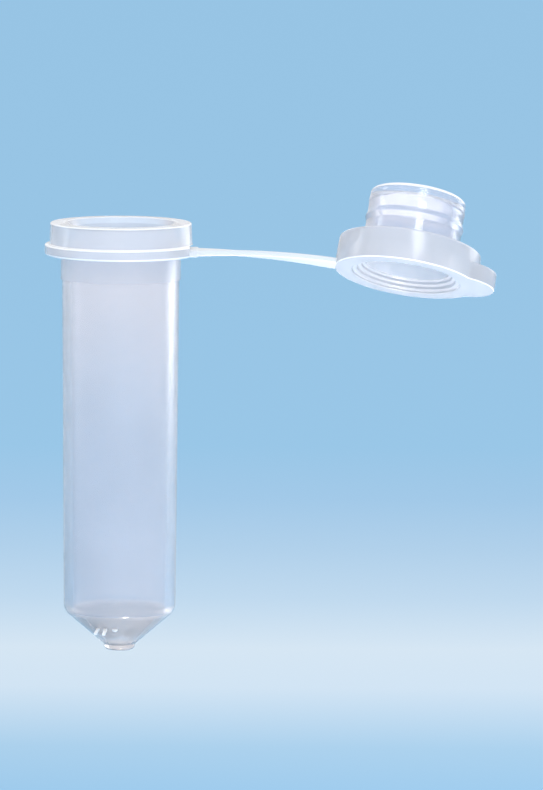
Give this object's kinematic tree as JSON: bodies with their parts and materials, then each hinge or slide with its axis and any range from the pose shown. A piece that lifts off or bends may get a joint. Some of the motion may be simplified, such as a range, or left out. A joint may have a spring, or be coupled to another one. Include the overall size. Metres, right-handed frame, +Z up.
{
  "type": "microcentrifuge tube",
  "caption": "Frosted plastic microcentrifuge tube with a conical bottom, thick rim, rack flange and an open plug cap on a thin flexible strap.",
  "frame": {"origin": "on the tube's axis, in the plane of the flange's underside, where the tube hangs in a rack", "axes": "+Z up the tube and out of its mouth, +X along the strap towards the open cap, -Y towards the side that carries the cavity marks"},
  "size_m": [0.0432, 0.0146, 0.0452],
  "materials": {
    "frosted_wall": "thin natural polypropylene, frosted and see-through",
    "thick_frosted": "thick natural polypropylene, milky and satin",
    "clear_cone": "polished natural polypropylene, nearly clear",
    "strap": "thin natural polypropylene web, satin white"
  },
  "bodies": {
    "tube": {"rim_collar": "thick_frosted", "support_flange": "thick_frosted", "barrel_neck": "frosted_wall", "barrel": "frosted_wall", "conical_base": "clear_cone", "gate_disc": "clear_cone", "cavity_marks": "clear_cone", "strap_anchor": "strap"},
    "strap_1": {"strap_link_1": "strap"},
    "strap_2": {"strap_link_2": "strap"},
    "strap_3": {"strap_link_3": "strap"},
    "strap_4": {"strap_link_4": "strap"},
    "strap_5": {"strap_link_5": "strap"},
    "strap_6": {"strap_link_6": "strap"},
    "strap_7": {"strap_link_7": "strap"},
    "strap_8": {"strap_link_8": "strap"},
    "cap": {"cap_anchor": "strap", "cap_head": "thick_frosted", "recess_ring": "thick_frosted", "thumb_lip": "thick_frosted", "plug_wall": "frosted_wall", "plug_floor": "frosted_wall", "main_seal_bead": "frosted_wall", "end_seal_bead": "frosted_wall"}
  },
  "joints": [
    {"name": "cap_swing", "type": "hinge", "parent": "tube", "child": "strap_1", "pos_m": [0.0074, 0, 0.00027], "axis": [0, -1, 0], "range_deg": [0, 53.3]},
    {"name": "cap_press", "type": "hinge", "parent": "strap_1", "child": "strap_2", "pos_m": [0.0086, 0, 0.00024], "axis": [0, 1, 0], "range_deg": [0, 47.66]},
    {"name": "root_twist", "type": "hinge", "parent": "strap_2", "child": "strap_3", "pos_m": [0.00995, 0, 0.0002], "axis": [0.9996, 0, -0.0279], "range_deg": [0, 10.25]},
    {"name": "outer_bend", "type": "hinge", "parent": "strap_3", "child": "strap_4", "pos_m": [0.01114, 0, 0.00017], "axis": [0.005, -0.984, 0.1779], "range_deg": [0, 40.7]},
    {"name": "middle_fold", "type": "hinge", "parent": "strap_4", "child": "strap_5", "pos_m": [0.01366, -0.00002, -0.00001], "axis": [0.005, -0.984, 0.1779], "range_deg": [0, 95.31]},
    {"name": "cap_side_bend", "type": "hinge", "parent": "strap_5", "child": "strap_6", "pos_m": [0.01619, -0.00004, -0.00018], "axis": [0.005, -0.984, 0.1779], "range_deg": [0, 40.9]},
    {"name": "cap_side_twist", "type": "hinge", "parent": "strap_6", "child": "strap_7", "pos_m": [0.01737, -0.00006, -0.00032], "axis": [0.9934, -0.0155, -0.1135], "range_deg": [0, 10.25]},
    {"name": "cap_side_fold", "type": "hinge", "parent": "strap_7", "child": "strap_8", "pos_m": [0.01871, -0.00008, -0.00047], "axis": [-0.0253, 0.9368, -0.349], "range_deg": [0, 47.66]},
    {"name": "cap_bend", "type": "hinge", "parent": "strap_8", "child": "cap", "pos_m": [0.0199, -0.0001, -0.00061], "axis": [0.0253, -0.9368, 0.349], "range_deg": [0, 54.1]}
  ],
  "couplings": [
    {"joint": "root_twist", "follows": "cap_swing", "ratio": 0.19231},
    {"joint": "outer_bend", "follows": "cap_swing", "ratio": 0.76365},
    {"joint": "middle_fold", "follows": "cap_press", "ratio": 2},
    {"joint": "cap_side_bend", "follows": "cap_swing", "ratio": 0.76741},
    {"joint": "cap_side_twist", "follows": "cap_swing", "ratio": 0.19231},
    {"joint": "cap_side_fold", "follows": "cap_press", "ratio": 1},
    {"joint": "cap_bend", "follows": "cap_swing", "ratio": 1.015}
  ]
}
